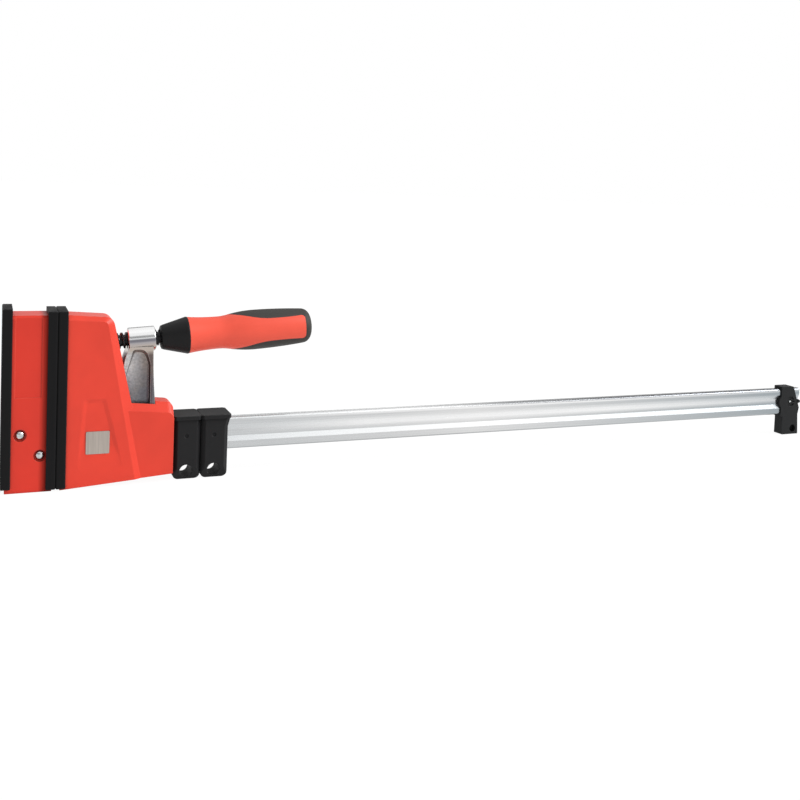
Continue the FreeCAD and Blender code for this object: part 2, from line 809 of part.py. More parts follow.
def panel_edge(side):
    """The wavy edge between the hard panel and the soft part, above or below the axis."""
    heights = [(panel_start, grip_neck_radius + panel_start_proud), (panel_shoulder_place, panel_shoulder),
               (panel_waist_place, panel_waist)]
    points = [vector(grip_start + s, 0, side * height) for s, height in heights]
    points.append(vector(grip_end - panel_end_margin - panel_corner, 0, side * panel_wide))
    return tangent_arcs(points, X_AXIS)


def panel_cutter():
    """Everything that isn't overmoulded: the neck, and a waisted panel on each side."""
    mouth, end = grip_start + panel_start, grip_end - panel_end_margin
    high = grip_neck_radius + panel_start_proud
    reach = 2 * grip_belly_radius
    turn = panel_corner * (1 - math.sqrt(0.5))
    low_corner = [vector(end - panel_corner, 0, -panel_wide), vector(end - turn, 0, -panel_wide + turn),
                  vector(end, 0, -panel_wide + panel_corner)]
    high_corner = [vector(end, 0, panel_wide - panel_corner), vector(end - turn, 0, panel_wide - turn),
                   vector(end - panel_corner, 0, panel_wide)]
    back = [vector(mouth, 0, high), vector(mouth, 0, reach), vector(grip_start - reach, 0, reach),
            vector(grip_start - reach, 0, -reach), vector(mouth, 0, -reach), vector(mouth, 0, -high)]
    edges = Part.makePolygon(back).Edges + panel_edge(1) + panel_edge(-1)
    edges += [Part.Arc(*low_corner).toShape(), Part.LineSegment(low_corner[-1], high_corner[0]).toShape(),
              Part.Arc(*high_corner).toShape()]
    cutter = Part.Face(Part.Wire(Part.__sortEdges__(edges))).extrude(vector(0, 2 * reach, 0))
    cutter.translate(vector(0, -reach, 0))
    cutter.rotate(vector(0, 0, 0), X_AXIS, -panel_twist)
    return cutter


def make_grip():
    """The hard red core and the soft black overmould that shares its outer form."""
    outer = grip_body()
    overmould = outer.cut(grip_lining()).cut(panel_cutter())
    stem = Part.makeCylinder(thread_root_radius, spindle_in_grip, vector(ferrule_start, 0, 0), X_AXIS)
    core = cut(outer, [overmould, stem])
    return on_spindle(core), on_spindle(overmould)


def octagon(x0, x1, half, chamfer, z):
    points = [
        (x0 + chamfer, -half), (x1 - chamfer, -half), (x1, -half + chamfer), (x1, half - chamfer),
        (x1 - chamfer, half), (x0 + chamfer, half), (x0, half - chamfer), (x0, -half + chamfer),
    ]
    return closed_wire([vector(x, y, z) for x, y in points])


def bevelled_foot(x0, x1, half, low, high):
    """The end view of a rail pad's body, drawn in towards its foot."""
    foot = half - rail_pad_bevel_inset
    shoulder = low + rail_pad_bevel_height
    points = [(-foot, low), (foot, low), (half, shoulder), (half, high), (-half, high), (-half, shoulder)]
    return Part.Face(closed_wire([vector(x0, y, z) for y, z in points])).extrude(vector(x1 - x0, 0, 0))


def make_rail_pad(x0, overlap):
    """A rail protection pad from x0: octagonal body, rim flared by overlap at its rear, round foot."""
    x1 = x0 + rail_pad_length
    half = rail_pad_width / 2
    low, high = ground, rail_top + rail_pad_cover
    body = Part.Face(octagon(x0, x1, half, rail_pad_chamfer, low)).extrude(vector(0, 0, high - low))
    foot_radius = rail_pad_foot_radius
    side = side_prism([(x0, low), (x1, low), (x1, high), (x0, high)], -2 * half, 2 * half,
                      [foot_radius, foot_radius, 0, 0])
    body = body.common(side).common(bevelled_foot(x0, x1, half, low, high))
    rim_low = high - rail_pad_rim_height
    rim_x1 = x1 + overlap
    flare = Part.makeLoft([
        octagon(x0, x1, half, rail_pad_chamfer, rim_low - rail_pad_flare),
        octagon(x0, rim_x1, half, rail_pad_chamfer, rim_low),
    ], True, True)
    rim = Part.Face(octagon(x0, rim_x1, half + rail_pad_rim, rail_pad_rim_chamfer, rim_low))
    rim = rim.extrude(vector(0, 0, rail_pad_rim_height))
    pad = fuse([body, flare, rim])
    middle = (x0 + x1) / 2
    hole_x = middle - rail_pad_hole_forward
    tools = [
        rail_window(x0 - 1, rim_x1 + 1, rail_pad_window_gap),
        cylinder_y(hole_x, low + rail_pad_hole_height, rail_pad_hole_radius, -2 * half, 2 * half),
    ]
    dimple = cylinder_y(middle - rail_pad_dimple_forward, rail_pad_dimple_height, rail_pad_dimple_radius,
                        half - rail_pad_dimple_depth, half + 1)
    return cut(pad, tools + mirrored_pair(dimple))


def clutch_back():
    return shoulder_end - housing_wall


def make_clutch_plate():
    x1 = clutch_back() - clutch_strip_width / 3
    x0 = x1 - clutch_plate_thickness
    half = cavity_half - shoulder_inset - clutch_plate_margin
    low = housing_foot_at(x0) + housing_wall + clutch_plate_margin
    high = shoulder_top_at(x1, shoulder_bevel_rise) - housing_wall - clutch_plate_margin
    plate = box(x0, x1, -half, half, low + 1, high)
    return plate.cut(rail_window(x0 - 1, x1 + 1, housing_fit))


def make_clutch_spring():
    """A bowed leaf between the housing's rear wall and the clutch plate, beside the rail."""
    x1 = clutch_back()
    x0 = x1 - clutch_strip_width / 3
    thick = clutch_strip_thickness
    high = rail_top - 1
    ends = [vector(x0, 0, high), vector(x1 - thick, 0, 0), vector(x0, 0, -high)]
    backs = [vector(x0 + thick, 0, high), vector(x1, 0, 0), vector(x0 + thick, 0, -high)]
    edges = [
        Part.Arc(*ends).toShape(), Part.LineSegment(ends[2], backs[2]).toShape(),
        Part.Arc(backs[2], backs[1], backs[0]).toShape(), Part.LineSegment(backs[0], ends[0]).toShape(),
    ]
    strip = Part.Face(Part.Wire(Part.__sortEdges__(edges)))
    start = rail_half + housing_fit + clutch_plate_margin
    width = cavity_half - shoulder_inset - start - clutch_plate_margin
    strip = strip.extrude(vector(0, width, 0))
    strip.translate(vector(0, start, 0))
    return strip


def make_end_clip():
    half = clip_width / 2
    top = rail_top + clip_top_cover
    step_z = -rail_top - clip_step_drop
    outline = [
        (clip_start + clip_foot_step, ground), (clip_end, ground), (clip_end - clip_waist, -rail_top),
        (clip_end, -rail_top / 2), (clip_end - clip_top_run, top), (clip_start, top),
        (clip_start, step_z), (clip_start + clip_foot_step, step_z),
    ]
    block = side_prism(outline, -half, half, [0.8, 0.8, 2, 3, 2, 0.6, 0, 0])
    bulge = cylinder_y(clip_start + clip_bulge_radius - clip_bulge, 0, clip_bulge_radius, -half, half)
    clip = fuse([block, bulge])
    pin_x = clip_start + clip_pin_place
    face = half - clip_recess_depth
    way = rail_profile(clip_start - clip_bulge - 1, clip_wall_fit).extrude(vector(2 * clip_length, 0, 0))
    ring = cylinder_y(pin_x, 0, clip_recess_radius, face, half + 1)
    hole = cylinder_y(clip_start + clip_hole_place, ground + clip_hole_height, clip_hole_radius,
                      half - clip_hole_depth, half + 1)
    clip = cut(clip, mirrored_pair(ring) + mirrored_pair(hole))
    ribs = [box(pin_x, clip_end - clip_rib, face, half, z, z + clip_rib) for z in (clip_rib, -2 * clip_rib)]
    knob = cylinder_y(clip_end - clip_rib, 0, clip_knob_radius, face, half + clip_rib_height)
    for piece in ribs + [knob]:
        clip = fuse([clip] + mirrored_pair(piece))
    pin_way = cylinder_y(pin_x, 0, clip_pin_radius, -half, half)
    return cut(clip, [way, pin_way])


def make_clip_pin():
    face = clip_width / 2 - clip_recess_depth
    pin = cylinder_y(clip_start + clip_pin_place, 0, clip_pin_radius, -face - 0.6, face + 0.6)
    return pin.makeChamfer(0.3, [e for e in pin.Edges if e.BoundBox.YLength < 1e-6])


def build():
    grip_core, grip_overmould = make_grip()
    return {
        "rail": make_rail(),
        "fixed_jaw_core": make_fixed_core(),
        "fixed_jaw_shell": make_fixed_shell(),
        "fixed_clamping_pad": make_pad(0, -1, 0),
        "spreading_pad": make_pad(spreading_face, 1, spreading_pad_lift),
        "fixed_jaw_rivets": make_rivets(),
        "end_clip": make_end_clip(),
        "end_clip_pin": make_clip_pin(),
        "moving_jaw_housing": make_housing(),
        "pressure_plate": make_pressure_plate(),
        "plate_screws": make_plate_screws(),
        "moving_clamping_pad": make_pad(closed_gap, 1, 0),
        "badge_plate": make_badge(),
        "thrust_seat": make_thrust_seat(),
        "retaining_ring": make_retaining_ring(),
        "clutch_plate": make_clutch_plate(),
        "clutch_spring": make_clutch_spring(),
        "sliding_arm": make_sliding_arm(),
        "spindle": make_spindle(),
        "ferrule": make_ferrule(),
        "grip_core": grip_core,
        "grip_overmould": grip_overmould,
        "rail_pad_front": make_rail_pad(first_rail_pad, 0),
        "rail_pad_rear": make_rail_pad(second_rail_pad, rail_pad_overlap),
    }


def write(parts):
    """Moves every solid to the part's origin and writes one STEP file per node."""
    os.makedirs("parts", exist_ok=True)
    origin = vector(-(spreading_face + rail_end) / 2, 0, -ground)
    for name, shape in parts.items():
        placed = shape.copy()
        placed.translate(origin)
        placed.exportStep(f"parts/{name}.step")
        solids = placed.Solids
        state = "valid" if placed.isValid() else "INVALID"
        print(name, len(solids), "solids", round(placed.Volume, 1), "mm3", state)
    print("origin offset", [round(v, 3) for v in origin])


write(build())
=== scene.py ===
# %% [markdown]
# # Dressing a parallel clamp
#
# A parallel clamp presses work between two tall padded jaws that stay square to a grooved steel
# bar. Its shapes come from a CAD model, and this lesson gives them their finishes: moulded red
# and black plastic, drawn steel, forged steel and a coarse black thread. It ends with a plain
# studio and a camera. Each step says first what the thing is on the real clamp, and then why it
# is made the way it is.

# %% Load the clamp
import json
import math

import bpy
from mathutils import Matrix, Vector


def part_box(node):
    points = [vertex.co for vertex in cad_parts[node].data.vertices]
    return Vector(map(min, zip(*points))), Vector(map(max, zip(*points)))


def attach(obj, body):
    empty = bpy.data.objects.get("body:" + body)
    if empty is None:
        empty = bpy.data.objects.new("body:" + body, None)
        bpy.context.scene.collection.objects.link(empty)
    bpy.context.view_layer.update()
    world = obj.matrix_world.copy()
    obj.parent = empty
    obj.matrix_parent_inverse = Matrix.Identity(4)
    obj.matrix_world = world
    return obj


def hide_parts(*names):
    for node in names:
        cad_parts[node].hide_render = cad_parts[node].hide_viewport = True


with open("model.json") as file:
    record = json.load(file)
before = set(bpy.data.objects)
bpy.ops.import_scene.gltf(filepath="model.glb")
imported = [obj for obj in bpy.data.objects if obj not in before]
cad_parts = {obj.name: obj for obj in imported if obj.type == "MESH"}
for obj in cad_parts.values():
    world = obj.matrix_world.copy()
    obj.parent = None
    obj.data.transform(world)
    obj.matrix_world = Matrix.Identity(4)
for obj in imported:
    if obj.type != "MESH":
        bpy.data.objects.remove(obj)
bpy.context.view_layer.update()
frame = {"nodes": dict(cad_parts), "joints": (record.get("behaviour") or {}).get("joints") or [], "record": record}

nodes = frame["nodes"]
bodies = frame["record"]["behaviour"]["bodies"]
body_of = {node: body for body, group in bodies.items() for node in group}
slot_of = {part["node"]: part["material_slot"] for part in frame["record"]["subparts"]}

# %% [markdown]
# ## Places on the clamp
#
# Everything is in metres, in the CAD model's own frame: X runs along the rail from the jaws to
# the end clip, Y across it, and Z up from the bench. The few places that the finishes and the
# thread need are read from the joints and from the boxes of the CAD pieces, so they follow the
# model.

# %% Read the places
mm = 0.001
joints = {joint["name"]: joint for joint in frame["joints"]}
spindle_middle = Vector(joints["spindle_turn"]["pos_m"])
tilt = math.radians(3.8)    # the screw rises this much towards the grip
rail_low, rail_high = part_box("rail")
pad_low, pad_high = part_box("fixed_clamping_pad")
print("rail from", round(rail_low.z, 4), "to", round(rail_high.z, 4), "above the bench")
print("fixed jaw's pad from", round(pad_low.x, 4), "to", round(pad_high.x, 4), "along the rail")

# %% [markdown]
# ## Helpers for materials
#
# A finish in Blender is a small net of nodes. Colours are written here as the eye reads them on
# a screen, from 0 to 255, and Blender wants them as amounts of light, so one helper translates
# them, and a second dims them. Three more keep the later cells short: one starts a material, one
# adds a node and fills in or joins its inputs, and one does sums.

# %% Colours, materials and nodes
def colour(red, green, blue):
    """A screen colour as Blender's amounts of light."""
    def light(value):
        share = value / 255
        return share / 12.92 if share <= 0.04045 else ((share + 0.055) / 1.055) ** 2.4
    return (light(red), light(green), light(blue), 1.0)


def dimmed(base, share):
    """A colour with only a share of its light."""
    return tuple(share * part for part in base[:3]) + (1.0,)


def start_material(name, base, roughness, metallic=0.0, specular=0.5):
    """A material with its main shader set to plain values."""
    made = bpy.data.materials.new(name)
    made.use_nodes = True
    shader = made.node_tree.nodes["Principled BSDF"]
    shader.inputs["Base Color"].default_value = base
    shader.inputs["Roughness"].default_value = roughness
    shader.inputs["Metallic"].default_value = metallic
    shader.inputs["Specular IOR Level"].default_value = specular
    return made, made.node_tree, shader


def add(tree, kind, inputs=None, **settings):
    """Adds a node. An input is either a value, or another node's output to join it to."""
    made = tree.nodes.new(kind)
    for name, value in settings.items():
        setattr(made, name, value)
    for key, value in (inputs or {}).items():
        if isinstance(value, bpy.types.NodeSocket):
            tree.links.new(value, made.inputs[key])
        else:
            made.inputs[key].default_value = value
    return made


def sums(tree, operation, *values):
    """One number worked out from two or three, such as a product or the larger of two."""
    made = add(tree, "ShaderNodeMath", dict(enumerate(values)), operation=operation)
    return made.outputs["Value"]


print("red on screen is", [round(v, 3) for v in colour(222, 65, 47)[:3]], "in amounts of light")

# %% [markdown]
# ## Patterns
#
# No real surface is even. A cloudy pattern, some centimetres wide, shifts its colour and its
# gloss a little, and a fine one, well under a millimetre, gives the grain that one feels with a
# fingernail. A photograph of a surface could bring them too, but it shows its edges where it
# repeats, and a computed noise has none. Both patterns are read at the piece's own coordinates,
# so they stay on it when it moves. A Mapping node can stretch a pattern along the rail, which
# turns clouds into drawn streaks.

# %% Noise, and a noise drawn out into streaks
def noise(tree, scale, detail=2.0, stretch=(1.0, 1.0, 1.0)):
    """A noise of so many cells to the metre, stretched where a number of stretch is small."""
    place = add(tree, "ShaderNodeTexCoord")
    moved = add(tree, "ShaderNodeMapping", {"Vector": place.outputs["Object"], "Scale": stretch})
    made = add(tree, "ShaderNodeTexNoise",
               {"Vector": moved.outputs["Vector"], "Scale": scale, "Detail": detail})
    return made.outputs["Fac"]


def own_place(tree):
    """Where a point lies on its piece, along the rail and up from the bench."""
    place = add(tree, "ShaderNodeTexCoord")
    parts = add(tree, "ShaderNodeSeparateXYZ", {"Vector": place.outputs["Object"]})
    return parts.outputs["X"], parts.outputs["Z"]


print("noise and own_place are ready")

# %% [markdown]
# ## Shares and mixes
#
# Most steps of a finish mix two colours by a share from 0 to 1. One helper turns any number into
# such a share, a second weakens a share, and a third does the mixing. A fourth runs a colour
# through several stops, like a painter's graded wash.

# %% Spread, weaken, mix and grade
def spread(tree, value, low, high, start=0.3, end=0.7):
    """Moves a number from the range start to end into the range low to high, and no further."""
    made = add(tree, "ShaderNodeMapRange", {"Value": value, "From Min": start, "From Max": end,
                                            "To Min": low, "To Max": high})
    return made.outputs["Result"]


def weakened(tree, share, most):
    """A share from 0 to 1, scaled down so that most is its highest value."""
    return spread(tree, share, 0.0, most, 0.0, 1.0)


def mixed(tree, share, first, second):
    """A colour between first and second."""
    made = add(tree, "ShaderNodeMix", {0: share, 6: first, 7: second}, data_type="RGBA")
    return made.outputs[2]


def ramp(tree, value, stops):
    """A colour that runs through stops: a place from 0 to 1, and a grey or red, green and blue."""
    made = add(tree, "ShaderNodeValToRGB", {"Fac": value})
    steps = made.color_ramp.elements
    while len(steps) < len(stops):
        steps.new(1.0)
    for step, (place, *shade) in zip(steps, stops):
        step.position, step.color = place, colour(*(shade if len(shade) == 3 else shade * 3))
    return made.outputs["Color"]


print("spread, weakened, mixed and ramp are ready")

# %% [markdown]
# ## Soft edges
#
# A CAD edge is perfectly sharp, and nothing made of plastic or steel is. Each edge could be cut
# off with real faces, but on edges this fine that costs thousands of them and hardly shows. The
# Bevel node bends the light near an edge as if it were rounded, with no change to the mesh. Where
# the bent direction differs from the flat one there is an edge, so the same two directions also
# say where the edge is painted a little paler: partly the wear of handling, partly a painted
# highlight. The opposite of an edge is a corner: the Ambient Occlusion node tells how closed in a
# point is, and there the colour is darkened as painted shade.

# %% Rounding and rubbing the edges
def soft_edges(tree, radius):
    """The rounded direction at each point, and how near it is to an edge, from 0 to 1."""
    rounded = add(tree, "ShaderNodeBevel", {"Radius": radius}, samples=8)
    flat = add(tree, "ShaderNodeNewGeometry")
    likeness = add(tree, "ShaderNodeVectorMath",
                   {0: rounded.outputs["Normal"], 1: flat.outputs["Normal"]},
                   operation="DOT_PRODUCT")
    near = spread(tree, likeness.outputs["Value"], 0.0, 1.0, 0.995, 0.85)
    return rounded.outputs["Normal"], near


def tucked_away(tree, reach, most):
    """Painted shade in a corner: 0 on an open face, most in the darkest corner."""
    made = add(tree, "ShaderNodeAmbientOcclusion", {"Distance": reach}, samples=8)
    return weakened(tree, spread(tree, made.outputs["AO"], 1.0, 0.0, 0.1, 0.75), most)


def bump(tree, height, depth, normal):
    """Turns a pattern into hollows of the given depth."""
    made = add(tree, "ShaderNodeBump",
               {"Height": height, "Distance": depth, "Strength": 1.0, "Normal": normal})
    return made.outputs["Normal"]


print("soft_edges, tucked_away and bump are ready")

# %% [markdown]
# ## Moulded plastic
#
# Most of the clamp is injection moulded. The red covers, the pads, the rail pads and the clip
# share one recipe with different numbers: a base colour with faint clouds, a gloss that varies
# with them, a spark-eroded grain from the mould, edges that are a little paler, partly from wear
# and partly as a painted highlight, and corners darkened as painted shade. Each could be a
# material of its own, but with one recipe they stay a family, and a change reaches them all. On
# the fixed jaw, a painted shadow of its proud pad also darkens the last few millimetres in front
# of the pad, and takes their shine away.

# %% The recipe for moulded plastic
clouds_to_the_metre, cloud_shade = 30, 0.9
# How much paler the edges are painted: partly wear, partly a painted highlight.
edge_wear_and_highlight = 0.35
# Corners are darkened as painted shade: how far it reaches, how strong it is, how dark.
shade_reach, painted_shade_share, painted_shade_dimming = 6 * mm, 0.85, 0.25
# Less shine inside the painted shadow in front of the fixed jaw's pad.
shadow_specular = 0.06


def moulded(name, base, pale, roughness, grain, depth, specular, radius=0.5 * mm, pad_shadow=None):
    """Moulded plastic: grain is the number of grains to the metre, depth their depth.

    The last argument is a pair of places along the rail, where a painted shadow of the pad
    deepens from the first to the second."""
    made, tree, shader = start_material(name, base, roughness, 0.0, specular)
    normal, near_edge = soft_edges(tree, radius)
    clouds = noise(tree, clouds_to_the_metre, 3)
    body_colour = mixed(tree, spread(tree, clouds, 0.0, 1.0), dimmed(base, cloud_shade), base)
    # Paler edges: partly rubbed wear, partly a painted highlight.
    edge_colour = mixed(tree, weakened(tree, near_edge, edge_wear_and_highlight), body_colour, pale)
    painted_shade_colour = dimmed(base, painted_shade_dimming)
    # Corners darkened as painted shade.
    shaded = mixed(tree, tucked_away(tree, shade_reach, painted_shade_share), edge_colour, painted_shade_colour)
    # A painted shadow of the proud pad, darker and less shiny, in front of the fixed jaw's pad.
    if pad_shadow:
        along = own_place(tree)[0]
        shaded = mixed(tree, spread(tree, along, 0.0, painted_shade_share, *pad_shadow), shaded, painted_shade_colour)
        tree.links.new(spread(tree, along, specular, shadow_specular, *pad_shadow),
                       shader.inputs["Specular IOR Level"])
    tree.links.new(shaded, shader.inputs["Base Color"])
    tree.links.new(spread(tree, clouds, roughness - 0.05, roughness + 0.05),
                   shader.inputs["Roughness"])
    tree.links.new(bump(tree, noise(tree, grain, 4), depth, normal), shader.inputs["Normal"])
    return made


print("moulded is ready")

# %% [markdown]
# ## The plastics
#
# Each entry is one plastic of the clamp: its name, its colour and the colour of its paler edges,
# which are partly rubbed and partly a painted highlight, then how rough it is, its grains to the
# metre, their depth and its shine. The pads also have wider edges. The fixed jaw is a little
# darker than the moving one: the same red, with shade painted into it. Of the blacks, the grip's
# rubber is the roughest, and the ferrule, which a thumb polishes, is the smoothest.

# %% Red, black and grey plastics
# The paler red of the edges, partly worn and partly a painted highlight.
worn_and_highlit_red = colour(248, 120, 102)
# Where the pad's painted shadow lies, just before the fixed jaw's pad.
pad_shadow_span = (pad_low.x - 6 * mm, pad_low.x)
finishes = {
    "red_shell": moulded("red satin plastic", colour(222, 65, 47), worn_and_highlit_red,
                         0.42, 1800, 0.03 * mm, 0.27),
    # The fixed jaw's red is darker as painted shade, and the pad's painted shadow is added.
    "fixed_jaw": moulded("red fixed jaw plastic", colour(214, 54, 38), worn_and_highlit_red,
                         0.42, 1800, 0.03 * mm, 0.27, pad_shadow=pad_shadow_span),
    "black_pad": moulded("black pad plastic", colour(19, 19, 20), colour(58, 57, 60),
                         0.6, 1500, 0.03 * mm, 0.12, 1.4 * mm),
    "black_rail_pad": moulded("black rail pad plastic", colour(31, 31, 32), colour(66, 66, 68),
                              0.6, 1400, 0.04 * mm, 0.16, 0.8 * mm),
    "black_clip": moulded("black clip plastic", colour(32, 33, 34), colour(70, 70, 72),
                          0.6, 1400, 0.04 * mm, 0.16),
    "black_ferrule": moulded("black ferrule plastic", colour(18, 18, 19), colour(60, 60, 62),
                             0.45, 1500, 0.02 * mm, 0.2),
    "red_grip": moulded("red hard grip", colour(234, 85, 64), colour(250, 134, 116),
                        0.42, 1600, 0.015 * mm, 0.36),
    "soft_black": moulded("soft grip rubber", colour(53, 51, 48), colour(82, 80, 77),
                          0.62, 1500, 0.05 * mm, 0.34),
}
print(len(finishes), "plastics are mixed")

# %% [markdown]
# ## Greys of the rail
#
# The rail is pulled cold through a die, which leaves it bright. Its faces have their reflections
# and highlights painted into the colour: the lower slopes of its grooves brighter, the flat faces
# duller and bluer, the more so towards the end clip. The faces could each have a material, but
# then the colour would jump at every edge. So one material asks how far a point looks up: 0 is
# straight down, 0.5 level and 1 straight up. One ramp of painted greys serves the middle of the
# rail and one its ends. A third ramp runs down the rail's height, and says where a painted
# highlight lies: in a thin line under the rounded edge, and along the middle.

# %% Three ramps for the rail
# Painted reflections and highlights by how far a face looks up: mid-rail, and at its ends.
middle_painted_greys = ((0.0, 170), (0.12, 205), (0.3, 222), (0.36, 222), (0.43, 225), (0.57, 223),
                (0.64, 255), (0.88, 255), (0.94, 245), (0.98, 255))
end_painted_greys = ((0.0, 152, 161, 166), (0.12, 182, 191, 196), (0.3, 170, 179, 184),
              (0.36, 168, 177, 182), (0.43, 154, 163, 168), (0.57, 152, 161, 166),
              (0.64, 232, 241, 246), (0.74, 212, 221, 226), (0.82, 132, 141, 146),
              (0.98, 122, 131, 136))
# Where a painted highlight lies, by depth down the rail.
highlight_by_depth = ((0.05, 0), (0.08, 245), (0.1, 245), (0.14, 0), (0.2, 0), (0.38, 255),
                  (0.44, 255), (0.56, 0))
white = colour(255, 255, 255)
print("ramps of", len(middle_painted_greys), "and", len(end_painted_greys), "greys, and one for the sheen")

# %% [markdown]
# ## Colour of the rail
#
# The colour is laid on in four layers, as a painter would: the painted greys of the faces, a
# painted highlight along the rail, the rounded top edge darkened as a painted dark reflection,
# and the flat grey underside, darker as painted shade. The first three fade along the rail, and
# those places are told in millimetres before its far end.

# %% Lay the rail's colour on
def before_end(tree, along, low, high, start, end):
    """A share that runs from low to high between two places, in mm before the rail's far end."""
    return spread(tree, along, low, high, rail_high.x - start * mm, rail_high.x - end * mm)


def painted_face_greys(tree, along, looks_up):
    """The painted greys of the faces: brighter mid-rail, and duller to both its ends."""
    far_end = before_end(tree, along, 0.0, 1.0, 420, 0)
    near_end = before_end(tree, along, 0.36, 0.0, 620, 400)
    return mixed(tree, sums(tree, "MAXIMUM", far_end, near_end),
                 ramp(tree, looks_up, middle_painted_greys), ramp(tree, looks_up, end_painted_greys))


def rail_colour(tree, along, up, looks_up):
    """All four layers of the rail's colour, mostly painted light and shade."""
    depth = spread(tree, up, 0.0, 1.0, rail_high.z, rail_low.z)
    # How much of the painted highlight is left at each place along the rail.
    highlight_left = sums(tree, "SUBTRACT", before_end(tree, along, 0.0, 0.8, 646, 520),
                      before_end(tree, along, 0.0, 0.45, 260, 0))
    highlight = sums(tree, "MULTIPLY", ramp(tree, depth, highlight_by_depth), highlight_left)
    highlighted = mixed(tree, highlight, painted_face_greys(tree, along, looks_up), white)
    # The rounded top edge darkened towards the far end as a painted dark reflection.
    dark_edge = sums(tree, "MULTIPLY", spread(tree, depth, 0.92, 0.0, 0.045, 0.08),
                before_end(tree, along, 0.0, 1.0, 490, 370))
    dark_edge_colour = mixed(tree, before_end(tree, along, 0.0, 1.0, 400, 250),
                        colour(166, 168, 170), colour(92, 94, 98))
    dark_edged = mixed(tree, dark_edge, highlighted, dark_edge_colour)
    # The underside darker as painted shade.
    underside_shade = spread(tree, up, 1.0, 0.0, rail_low.z + 0.6 * mm, rail_low.z + 2 * mm)
    return mixed(tree, underside_shade, dark_edged, colour(158, 160, 162))


print("rail_colour is ready")

# %% [markdown]
# ## Drawn lines and teeth
#
# The die leaves fine straight lines along the rail: a noise stretched along X makes them, in the
# colour, in the gloss and as a faint relief. The two narrow edges are rolled with fine teeth that
# the sliding arm bites on. As real ridges they would be hundreds of faces that are hardly a pixel
# wide, so they are a wave of light and shade across the rail, kept to the faces that look nearly
# straight up or down. Blender's wave has 20 ridges in 2 pi metres where its scale is 1.

# %% The rail's steel
teeth_to_the_metre, teeth_depth = 316.79, 0.06 * mm
waves_at_scale_one = 20 / (2 * math.pi)
lines_to_the_metre, lines_depth, drawn_out = 900, 0.01 * mm, (0.004, 1.0, 1.0)


def teeth_on_edges(tree, upward):
    """Ridges across the rail, on its top and bottom edges only."""
    place = add(tree, "ShaderNodeTexCoord")
    teeth = add(tree, "ShaderNodeTexWave",
                {"Vector": place.outputs["Object"],
                 "Scale": teeth_to_the_metre / waves_at_scale_one},
                bands_direction="X", wave_profile="TRI")
    on_edge = spread(tree, sums(tree, "ABSOLUTE", upward), 0.0, 1.0, 0.9, 0.98)
    return sums(tree, "MULTIPLY", teeth.outputs["Fac"], on_edge)


def rail_steel():
    made, tree, shader = start_material("drawn rail steel", colour(205, 206, 208), 0.3, 1.0)
    along, up = own_place(tree)
    facing = add(tree, "ShaderNodeNewGeometry")
    parts = add(tree, "ShaderNodeSeparateXYZ", {"Vector": facing.outputs["Normal"]})
    upward = parts.outputs["Z"]
    body_colour = rail_colour(tree, along, up, spread(tree, upward, 0.0, 1.0, -1.0, 1.0))
    lines = noise(tree, lines_to_the_metre, 3, drawn_out)
    lined = mixed(tree, spread(tree, lines, 0.0, 0.12), body_colour, colour(150, 150, 152))
    tree.links.new(lined, shader.inputs["Base Color"])
    tree.links.new(spread(tree, lines, 0.2, 0.32), shader.inputs["Roughness"])
    drawn = bump(tree, lines, lines_depth, soft_edges(tree, 0.6 * mm)[0])
    toothed = bump(tree, teeth_on_edges(tree, upward), teeth_depth, drawn)
    tree.links.new(toothed, shader.inputs["Normal"])
    return made


finishes["rail_steel"] = rail_steel()
print("the rail's steel has", len(finishes["rail_steel"].node_tree.nodes), "nodes")

# %% [markdown]
# ## The arm's machined boss
#
# The boss that carries the thread is machined bright. The bands that it mirrors are painted into
# its colour: a dark violet band of painted reflection along it, a tan one under it, and painted
# highlights above. They could be painted by hand on an unfolded boss, but all run along the
# screw, so it is simpler to let a ramp of colours read the height over the screw's own tilted
# axis, from the neck of the arm to the boss's top.

# %% Heat bands on the boss
boss_radius, neck_depth = 10.7 * mm, 12 * mm
# Painted reflection bands and highlights, from the neck up to the top of the boss.
boss_painted_bands = ((0.0, 178, 166, 156), (0.3, 186, 174, 165), (0.45, 168, 164, 166),
              (0.5, 132, 130, 137), (0.54, 116, 114, 122), (0.58, 130, 129, 134),
              (0.63, 238, 239, 240), (0.8, 240), (0.86, 252), (1.0, 238))


def boss_colour(tree, along, up):
    """The machined steel's painted reflections, by the height over the screw's tilted axis."""
    over_axis = sums(tree, "MULTIPLY_ADD", along, -math.tan(tilt), up)
    axis_height = spindle_middle.z - math.tan(tilt) * spindle_middle.x
    share = spread(tree, over_axis, 0.0, 1.0, axis_height - neck_depth, axis_height + boss_radius)
    return ramp(tree, share, boss_painted_bands)


print("a ramp of", len(boss_painted_bands), "stops over", round((boss_radius + neck_depth) * 1000, 1), "mm")

# %% [markdown]
# ## The arm's forged neck
#
# Below the boss the arm is as the forge left it, shot blasted and zinc plated: grey, with faint
# tan and violet films, and dark specks in its skin. Its pocket is paler on the jaws' side and
# darker towards its foot, and the strip between the pocket and the arm's back edge is a darker
# brown. As on the rail, one material finds these places by their distance, here in millimetres
# from the middle of the screw, so no face has to be picked out by hand.

# %% Pocket, strip and films
film_share, films_to_the_metre, specks_to_the_metre = 0.22, 60, 480


def beside(tree, along, low, high, start, end):
    """A share that runs from low to high between two places, in mm past the screw's middle."""
    return spread(tree, along, low, high,
                  spindle_middle.x + start * mm, spindle_middle.x + end * mm)


def below(tree, up, low, high, start, end):
    """The same between two depths, in mm below the screw's middle."""
    return spread(tree, up, low, high, spindle_middle.z - start * mm, spindle_middle.z - end * mm)


